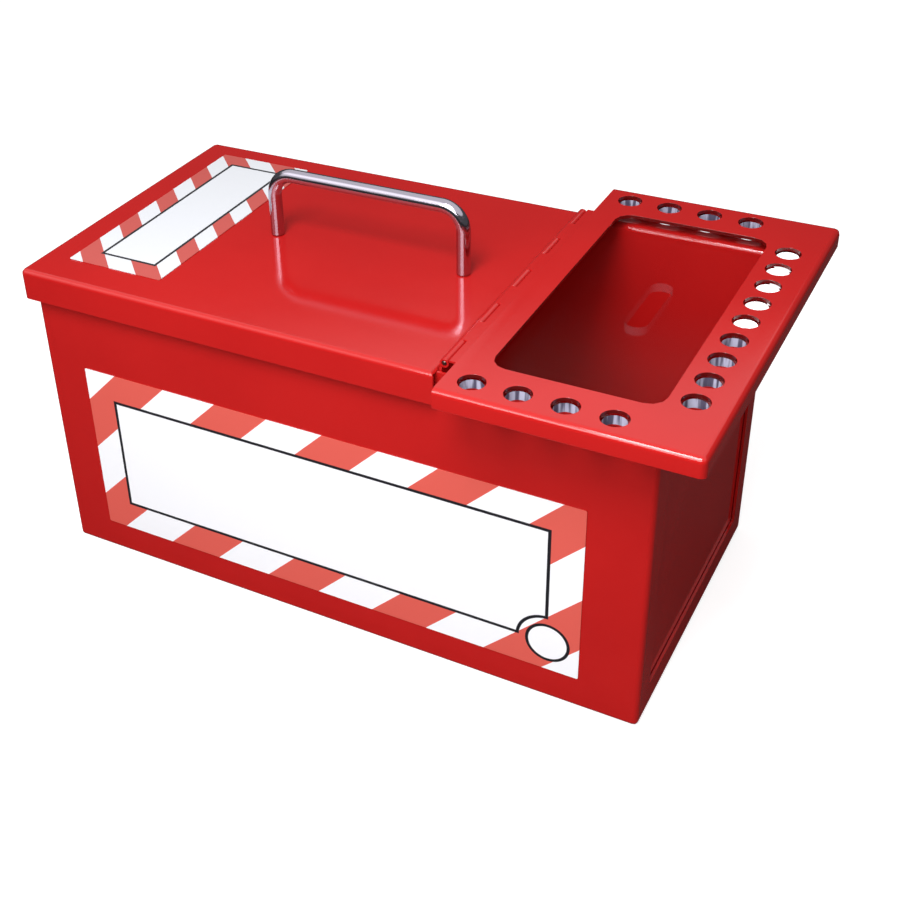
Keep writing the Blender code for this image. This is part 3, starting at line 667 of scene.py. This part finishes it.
@dataclass
class CarryHandle:
    """The bent bar on the cover."""

    bend_radius: float = 13.0 * MM
    foot_chamfer: float = 0.5 * MM
    sides: int = 48
    bend_steps: int = 14

    def build(self, steel: bpy.types.Material) -> None:
        """Carry a round section along the handle's bent line.

        A point at angle t is the line's point + r * (cos t * Y + sin t * (Y x tangent)).
        """
        low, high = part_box("carry_handle")
        radius = (high.y - low.y) / 2
        left, right, crown = low.x + radius, high.x - radius, high.z - radius
        bend = self.bend_radius
        legs = (low.z, low.z + self.foot_chamfer)
        start = np.array([(left, z) for z in (legs[0], legs[0], legs[1])])
        stop = np.array([(right, z) for z in (legs[1], legs[0], legs[0])])
        line = np.concatenate([
            start,
            arc((left + bend, crown - bend), bend, 180, 90, self.bend_steps),
            arc((right - bend, crown - bend), bend, 90, 0, self.bend_steps),
            stop,
        ])
        radii = np.full(len(line), radius)
        radii[[0, -1]] = 0.0
        radii[[1, -2]] = radius - self.foot_chamfer
        tangent = np.gradient(line, axis=0)
        tangent[:3] = (0, 1)
        tangent[-3:] = (0, -1)
        tangent /= np.linalg.norm(tangent, axis=1, keepdims=True)
        outward = np.stack([tangent[:, 1], np.zeros(len(line)), -tangent[:, 0]], axis=1)
        middle = np.stack([line[:, 0], np.full(len(line), (low.y + high.y) / 2), line[:, 1]], axis=1)
        turn = np.linspace(0.0, 2 * math.pi, self.sides, endpoint=False)
        spoke = (np.cos(turn)[None, :, None] * np.array([0.0, 1.0, 0.0])
                 + np.sin(turn)[None, :, None] * outward[:, None, :])
        grid = middle[:, None, :] + radii[:, None, None] * spoke
        bar = mesh_object("handle_bar", grid, grid_faces(len(line), self.sides, True), steel)
        seat(bar, Body.BOX, Slot.STEEL, "carry_handle")


@dataclass
class PadlockFrame:
    """The hinged frame and its clear pane, which studs carry."""

    edge: float = 0.35 * MM
    pane_edge: float = 0.2 * MM
    skirt: float = 4.5 * MM
    hole_wall_shade_colour: Colour = (0.110, 0.0035, 0.0035)
    shaded_wall_rise: float = 0.5
    wall_rise: float = 0.7
    rim_reach: float = 1.0 * MM
    notch_reach: float = 8.0 * MM
    slot_reach_y: float = 0.26
    slot_reach_x: float = 0.75

    def build(self, paint: bpy.types.Material) -> None:
        """Dress the frame and the pane."""
        coated = softened("padlock_frame", "frame_coated", paint, self.edge)
        # The walls of the frame's holes get a deep dark red: painted shade.
        wall_shade_coat = PowderCoat("hole_wall_shade", self.hole_wall_shade_colour, self.hole_wall_shade_colour).material()
        coated.data.materials.append(wall_shade_coat)
        coated.data.polygons.foreach_set("material_index", self._shaded_hole_walls(coated.data))
        seat(coated, Body.FRAME, Slot.PAINT, "padlock_frame")
        pane = softened("window_pane", "pane_clear", ClearSheet().material(), self.pane_edge)
        pane.modifiers["soft_edges"].material = 0
        pane.data.materials.append(BoredEdge().material())
        pane.data.materials.append(PolishedEdge().material())
        pane.data.polygons.foreach_set("material_index", self._wall_kinds(pane.data))
        seat(pane, Body.FRAME, Slot.CLEAR, "window_pane")

    def _shaded_hole_walls(self, mesh: bpy.types.Mesh) -> np.ndarray:
        """Return 1 for the upright faces within the frame's skirt, which are painted dark as shade, and 0 for
        the rest.
        """
        centre, normal = face_frames(mesh)
        low, high = (np.array(corner)[:2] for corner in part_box("padlock_frame"))
        within = ((centre[:, :2] > low + self.skirt) & (centre[:, :2] < high - self.skirt)).all(axis=1)
        return (within & (np.abs(normal[:, 2]) < self.shaded_wall_rise)).astype(np.int32)

    def _wall_kinds(self, mesh: bpy.types.Mesh) -> np.ndarray:
        """Return 0 for the pane's faces, 1 for its round holes' walls, and 2 for the slot's and the rim's.

        The slot lies about the pane's middle, by shares of the pane's far corner. The rim is within its
        reach of the pane's box, or within the notch for the hinge's leaf.
        """
        centre, normal = face_frames(mesh)
        low, high = (np.array(corner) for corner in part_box("window_pane"))
        reach = self.rim_reach
        rim = ((centre[:, :2] < low[:2] + reach) | (centre[:, :2] > high[:2] - reach)).any(axis=1)
        slot = np.abs(centre[:, 1]) < self.slot_reach_y * high[1]
        slot = slot & (centre[:, 0] < self.slot_reach_x * high[0])
        notch = centre[:, 0] < low[0] + self.notch_reach
        wall = np.abs(normal[:, 2]) < self.wall_rise
        return np.where(wall, np.where(rim | slot | notch, 2, 1), 0).astype(np.int32)


@dataclass
class Hinge:
    """The rolled leaves of the continuous hinge."""

    edge: float = 0.12 * MM

    def build(self, paint: bpy.types.Material) -> None:
        """Dress the leaves."""
        seat(softened("hinge_fixed_leaf", "fixed_leaf_coated", paint, self.edge),
             Body.BOX, Slot.PAINT, "hinge_fixed_leaf")
        seat(softened("hinge_moving_leaf", "moving_leaf_coated", paint, self.edge),
             Body.FRAME, Slot.PAINT, "hinge_moving_leaf")


@dataclass
class Fasteners:
    """Rivets, screws, washers, studs, nuts and the hinge pin, turned round their own axes."""

    rivet_shank: float = 1.6 * MM
    rivet_head: float = 1.1 * MM
    screw_shank: float = 2.5 * MM
    screw_head: float = 3.0 * MM
    socket_radius: float = 1.7 * MM
    socket_depth: float = 1.6 * MM
    washer_bore: float = 2.8 * MM
    nut_bore: float = 1.8 * MM
    chamfer: float = 0.25 * MM
    dome_steps: int = 6
    nut_sides: int = 48
    # The hinge pin is dark reddish brown: partly the red coat over it, partly painted shade of the dark gap
    # at the hinge's end.
    pin_coat_and_shade: Colour = (0.20, 0.13, 0.12)
    pin_tarnish_and_shade: Colour = (0.10, 0.06, 0.05)

    def build(self, zinc: bpy.types.Material) -> None:
        """Make every fastener."""
        shaded_pin_zinc = ZincPlate("pin_zinc_coated_and_shaded", self.pin_coat_and_shade, self.pin_tarnish_and_shade).material()
        makers = {"hinge_rivet": self._rivet, "handle_screw": self._screw, "handle_washer": self._washer,
                  "pane_stud": self._rod, "pane_nut": self._nut}
        seat(self._rod("hinge_pin", shaded_pin_zinc), Body.BOX, Slot.ZINC, "hinge_pin")
        for start, maker in makers.items():
            body = Body.FRAME if start.startswith("pane") else Body.BOX
            for node in [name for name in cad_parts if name.startswith(start)]:
                seat(maker(node, zinc), body, Slot.ZINC, node)

    @staticmethod
    def _span(node: str, axis: Axis) -> tuple[float, float, float, Vector]:
        """Return a node's start and stop along an axis, its radius and its centre line's place."""
        low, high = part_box(node)
        across = (axis.value + 1) % 3
        place = (low + high) / 2
        place[axis.value] = 0.0
        return low[axis.value], high[axis.value], (high[across] - low[across]) / 2, place

    def _dome(self, tip: float, base: float, radius: float) -> list[tuple[float, float]]:
        """Return a quarter ellipse from the tip on the axis to the rim at the base."""
        turn = np.radians(np.linspace(0.0, 90.0, self.dome_steps + 1))
        return list(zip(tip + (base - tip) * (1.0 - np.cos(turn)), radius * np.sin(turn)))

    def _rivet(self, node: str, zinc: bpy.types.Material) -> bpy.types.Object:
        """Return a rivet with a domed head at each end."""
        start, stop, radius, place = self._span(node, Axis.X)
        near, far = start + self.rivet_head, stop - self.rivet_head
        profile = self._dome(start, near, radius) + [(near, self.rivet_shank), (far, self.rivet_shank)]
        profile += self._dome(stop, far, radius)[::-1]
        return turned_object(node + "_turned", profile, place, Axis.X, zinc)

    def _rod(self, node: str, zinc: bpy.types.Material) -> bpy.types.Object:
        """Return a plain rod with chamfered ends: the pin along Y, or a stud along Z."""
        axis = Axis.Y if node == "hinge_pin" else Axis.Z
        start, stop, radius, place = self._span(node, axis)
        slim = radius - self.chamfer
        profile = [(start, 0.0), (start, slim), (start + self.chamfer, radius), (stop - self.chamfer, radius),
                   (stop, slim), (stop, 0.0)]
        return turned_object(node + "_turned", profile, place, axis, zinc)

    def _screw(self, node: str, zinc: bpy.types.Material) -> bpy.types.Object:
        """Return a cap screw, head down, with a blind socket."""
        start, stop, radius, place = self._span(node, Axis.Z)
        socket, seat_height = start + self.socket_depth, start + self.screw_head
        profile = [(socket, 0.0), (socket, self.socket_radius), (start, self.socket_radius),
                   (start, radius - self.chamfer), (start + self.chamfer, radius), (seat_height, radius),
                   (seat_height, self.screw_shank), (stop - self.chamfer, self.screw_shank),
                   (stop, self.screw_shank - self.chamfer), (stop, 0.0)]
        return turned_object(node + "_turned", profile, place, Axis.Z, zinc)

    def _washer(self, node: str, zinc: bpy.types.Material) -> bpy.types.Object:
        """Return a flat washer with a rounded outer rim."""
        start, stop, radius, place = self._span(node, Axis.Z)
        profile = [(start, self.washer_bore), (start, radius - self.chamfer), (start + self.chamfer, radius),
                   (stop - self.chamfer, radius), (stop, radius - self.chamfer), (stop, self.washer_bore),
                   (start, self.washer_bore)]
        return turned_object(node + "_turned", profile, place, Axis.Z, zinc)

    def _nut(self, node: str, zinc: bpy.types.Material) -> bpy.types.Object:
        """Return a hexagon nut with a bore.

        At turn t the flats' radius is apothem / cos(t from the nearest flat's middle). A corner lies on
        the wider of X and Y.
        """
        low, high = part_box(node)
        wide_x = high.x - low.x > high.y - low.y
        apothem = min(high.x - low.x, high.y - low.y) / 2
        turn = np.linspace(0.0, 2 * math.pi, self.nut_sides, endpoint=False)
        from_flat = (turn - (math.pi / 6 if wide_x else 0.0) + math.pi / 6) % (math.pi / 3) - math.pi / 6
        flats = apothem / np.cos(from_flat)
        bore = np.full_like(turn, self.nut_bore)
        rounded = np.minimum(flats, apothem + self.chamfer)
        rows = [(low.z, bore), (low.z, rounded), (low.z + self.chamfer, flats),
                (high.z - self.chamfer, flats), (high.z, rounded), (high.z, bore), (low.z, bore)]
        middle = (low + high) / 2
        grid = np.array([np.stack([middle.x + radius * np.cos(turn), middle.y + radius * np.sin(turn),
                                   np.full_like(turn, height)], axis=1) for height, radius in rows])
        faces = grid_faces(len(rows), len(turn), True)
        return mesh_object(node + "_turned", grid, faces, zinc, smooth_angle=25.0)


@dataclass
class Labels:
    """The two printed films."""

    def build(self) -> None:
        """Print both films."""
        front = StripedFilm(
            "front_film", Axis.X, Axis.Z,
            panel_low=(-152.2 * MM, 39.6 * MM), panel_high=(122.8 * MM, 115.4 * MM),
            key_line=1.9 * MM, stripe_pitch=69.4 * MM, stripe_width=34.3 * MM, stripe_start=-4.65 * MM,
            lean=-1.0, seal_radius=12.7 * MM)
        # The cover film's red and white are printed darker than the front film's, as painted shade.
        cover = StripedFilm(
            "cover_film", Axis.Y, Axis.X,
            panel_low=(-65.0 * MM, -171.6 * MM), panel_high=(73.0 * MM, -132.9 * MM),
            key_line=1.8 * MM, stripe_pitch=37.4 * MM, stripe_width=18.6 * MM, stripe_start=9.5 * MM,
            lean=1.0, red=(0.50, 0.085, 0.072), white=(0.70, 0.725, 0.76))
        for node, film in (("front_label", front), ("cover_label", cover)):
            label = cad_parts[node]
            label.data.materials.clear()
            label.data.materials.append(film.material())


@dataclass(frozen=True)
class Lamp:
    """One area lamp: where it hangs, where it aims, its width and height, and its power."""

    name: str
    place: tuple[float, float, float]
    aim: tuple[float, float, float]
    size: tuple[float, float]
    power: float
    colour: Colour = (1.0, 0.975, 0.985)

    def hang(self) -> None:
        """Add the lamp to the scene."""
        lamp = bpy.data.lights.new(self.name, "AREA")
        lamp.shape = "RECTANGLE"
        lamp.size, lamp.size_y = self.size
        lamp.energy = self.power
        lamp.color = self.colour
        holder = bpy.data.objects.new(self.name, lamp)
        bpy.context.scene.collection.objects.link(holder)
        holder.location = self.place
        holder.rotation_mode = "QUATERNION"
        holder.rotation_quaternion = (Vector(self.place) - Vector(self.aim)).to_track_quat("Z", "Y")


@dataclass
class Studio:
    """A pale floor, a key lamp to the photographer's left, a low front softbox and a soft surround."""

    key: Lamp = Lamp("key", (0.09, -0.50, 0.90), (0.03, 0.0, 0.16), (0.32, 0.32), 6.5)
    softbox: Lamp = Lamp("softbox", (0.03, -0.76, 0.66), (0.02, 0.0, 0.18), (0.66, 0.36), 4.6)
    glare_towards: tuple[float, float, float] = (-0.52, -0.62, 0.59)
    glare: float = 1.0
    glare_reach: tuple[float, float] = (0.86, 0.97)
    ambient_low: float = 0.34
    ambient_high: float = 0.62
    ceiling_step: tuple[float, float] = (0.482, 0.545)
    ceiling_gloss: tuple[float, float] = (0.10, 0.90)
    horizon_step: tuple[float, float] = (-0.02, 0.03)
    horizon_gloss: tuple[float, float] = (0.4, 1.0)
    floor_size: float = 12.0
    floor_drop: float = 0.3 * MM
    floor_glow: float = 0.72
    floor_lit: Colour = (0.30, 0.30, 0.30)
    floor_glossy: Colour = (0.05, 0.05, 0.05)
    floor_seen: Colour = (0.60, 0.60, 0.60)
    camera_place: tuple[float, float, float] = (0.3220, -0.6183, 0.5591)
    camera_turn: tuple[float, float, float] = (30.76, 32.10, 2.95)
    camera_lens: float = 56.09
    camera_shift: tuple[float, float] = (0.1094, -0.0837)
    clip_start: float = 0.02

    def build(self) -> None:
        """Make the floor, the lamps, the world and the camera."""
        self._floor()
        self.key.hang()
        self.softbox.hang()
        self._world()
        self._camera()

    def _floor(self) -> None:
        """Lay the floor just under the box."""
        half = self.floor_size / 2
        points = np.array([(-half, -half, -self.floor_drop), (half, -half, -self.floor_drop),
                           (half, half, -self.floor_drop), (-half, half, -self.floor_drop)])
        material, graph = new_material("pale_floor")
        seen = self._seen(graph)
        unseen = graph.mix(graph.ray("Glossy"), self.floor_lit, self.floor_glossy)
        colour = graph.mix(seen, unseen, self.floor_seen)
        shader = graph.add("ShaderNodeBsdfDiffuse", values={"Color": colour})
        glow = graph.add("ShaderNodeEmission", values={
            "Color": (1.0, 1.0, 1.0, 1.0), "Strength": seen * self.floor_glow,
        })
        both = graph.add("ShaderNodeAddShader", values={0: shader.outputs[0], 1: glow.outputs[0]})
        graph.add("ShaderNodeOutputMaterial", values={"Surface": both.outputs[0]})
        mesh_object("floor", points, [(0, 1, 2, 3)], material)

    @staticmethod
    def _seen(graph: Graph) -> Signal:
        """Return 1 for what the camera sees, straight or through clear plastic, and 0 for all else."""
        return graph.ray("Camera").largest(graph.ray("Transmission"))

    def _world(self) -> None:
        """Set the surround: white to the camera, a dim dome as a lamp, and to gloss a high ceiling."""
        world = bpy.data.worlds.new("surround")
        world.use_nodes = True
        bpy.context.scene.world = world
        graph = Graph(world.node_tree)
        direction = graph.signal("ShaderNodeTexCoord", output="Generated")
        height = graph.signal("ShaderNodeSeparateXYZ", values={0: direction}, output=Axis.Z.value)
        nearness = graph.signal("ShaderNodeVectorMath", {"operation": "DOT_PRODUCT"},
                                {0: direction, 1: self.glare_towards}, "Value")
        ambient = height.ramp(0.0, 1.0, self.ambient_low, self.ambient_high)
        ceiling = height.ramp(*self.ceiling_step, *self.ceiling_gloss)
        ceiling = ceiling * height.ramp(*self.horizon_step, *self.horizon_gloss)
        ceiling = ceiling + nearness.ramp(*self.glare_reach, 0.0, self.glare)
        light = graph.either(graph.ray("Glossy"), ambient, ceiling)
        strength = graph.either(self._seen(graph), light, 1.0)
        shader = graph.add("ShaderNodeBackground", values={
            "Color": (1.0, 1.0, 1.0, 1.0), "Strength": strength,
        })
        graph.add("ShaderNodeOutputWorld", values={"Surface": shader.outputs[0]})

    def _camera(self) -> None:
        """Set the camera at the photographer's place, turned and shifted to the same framing."""
        azimuth, elevation, roll = map(math.radians, self.camera_turn)
        back = Vector((math.sin(azimuth) * math.cos(elevation), -math.cos(azimuth) * math.cos(elevation),
                       math.sin(elevation)))
        level = Vector((math.cos(azimuth), math.sin(azimuth), 0.0))
        upright = back.cross(level)
        right = level * math.cos(roll) - upright * math.sin(roll)
        up = level * math.sin(roll) + upright * math.cos(roll)
        data = bpy.data.cameras.new("camera")
        data.lens = self.camera_lens
        data.shift_x, data.shift_y = self.camera_shift
        data.clip_start = self.clip_start
        camera = bpy.data.objects.new("camera", data)
        bpy.context.scene.collection.objects.link(camera)
        camera.location = self.camera_place
        camera.rotation_mode = "QUATERNION"
        camera.rotation_quaternion = Matrix((right, up, back)).transposed().to_quaternion()
        bpy.context.scene.camera = camera


def main() -> None:
    """Dress the whole box and set it in the studio."""
    logging.basicConfig(level=logging.INFO, format="%(name)s: %(message)s")
    paint = PowderCoat().material()
    Studio().build()
    Enclosure().build()
    CarryHandle().build(PolishedBar().material())
    PadlockFrame().build(paint)
    Hinge().build(paint)
    Fasteners().build(ZincPlate().material())
    Labels().build()
    bpy.context.scene.view_settings.view_transform = "Standard"


if __name__ == "__main__":
    main()
